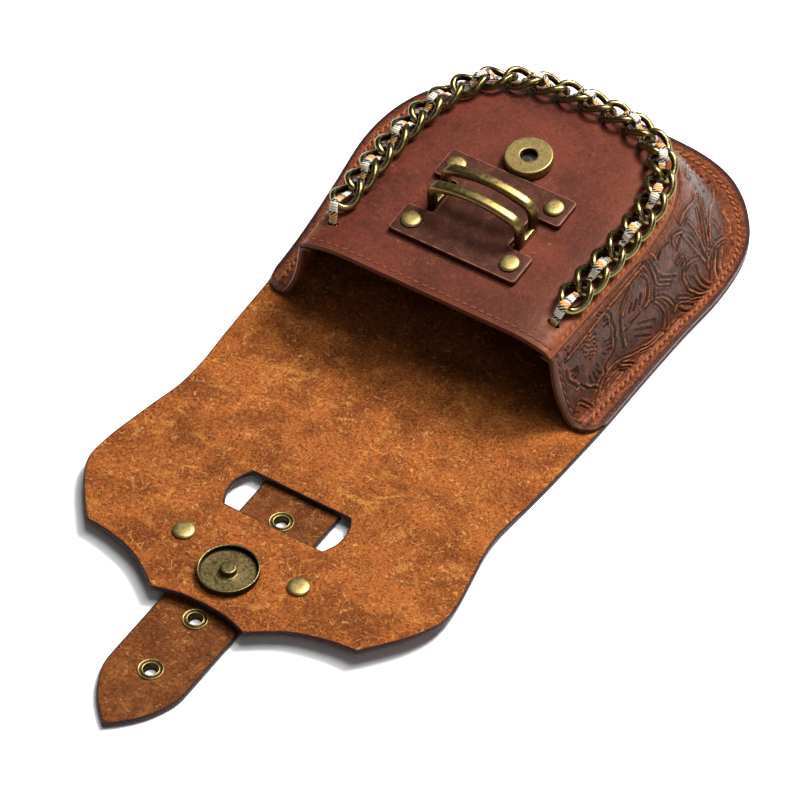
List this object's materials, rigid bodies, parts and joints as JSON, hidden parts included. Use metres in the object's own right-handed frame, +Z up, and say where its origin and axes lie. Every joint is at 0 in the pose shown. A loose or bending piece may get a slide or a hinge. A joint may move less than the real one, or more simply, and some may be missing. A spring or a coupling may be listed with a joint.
{
  "type": "chain bag",
  "caption": "Small leather pouch bag lying open, with a tooled gusset, a flap with a slot and snap, a pointed strap, a double brass loop and a chain woven with ribbon.",
  "frame": {"origin": "middle of the mouth line on the underside of the back panel, on the surface it rests on", "axes": "+Z up off the surface, +Y toward the closed end of the pouch, -Y along the open flap, +X across"},
  "size_m": [0.1482, 0.332, 0.0576],
  "materials": {
    "front_leather": "waxed",
    "suede": "napped",
    "tooled_leather": "tooled",
    "dark_leather": "satin",
    "antique_brass": "antiqued",
    "woven_ribbon": "woven"
  },
  "bodies": {
    "root": {"back_panel": "suede", "strap": "suede", "front_panel": "front_leather", "gusset": "tooled_leather", "front_patch": "dark_leather", "strap_keeper": "dark_leather", "loop_bracket": "antique_brass", "snap_disc": "antique_brass", "snap_cup": "antique_brass", "patch_rivet_1": "antique_brass", "patch_rivet_2": "antique_brass", "patch_rivet_3": "antique_brass", "patch_rivet_4": "antique_brass", "flap_rivet_1": "antique_brass", "flap_rivet_2": "antique_brass", "eyelet_1": "antique_brass", "eyelet_2": "antique_brass", "eyelet_3": "antique_brass", "eyelet_4": "antique_brass", "chain_link_01": "antique_brass", "chain_link_02": "antique_brass", "chain_link_03": "antique_brass", "chain_link_04": "antique_brass", "chain_link_05": "antique_brass", "chain_link_06": "antique_brass", "chain_link_07": "antique_brass", "chain_link_08": "antique_brass", "chain_link_09": "antique_brass", "chain_link_10": "antique_brass", "chain_link_11": "antique_brass", "chain_link_12": "antique_brass", "chain_link_13": "antique_brass", "chain_link_14": "antique_brass", "chain_link_15": "antique_brass", "chain_link_16": "antique_brass", "chain_link_17": "antique_brass", "chain_link_18": "antique_brass", "chain_link_19": "antique_brass", "chain_link_20": "antique_brass", "chain_link_21": "antique_brass", "chain_link_22": "antique_brass", "chain_link_23": "antique_brass", "chain_link_24": "antique_brass", "ribbon": "woven_ribbon"}
  },
  "joints": []
}
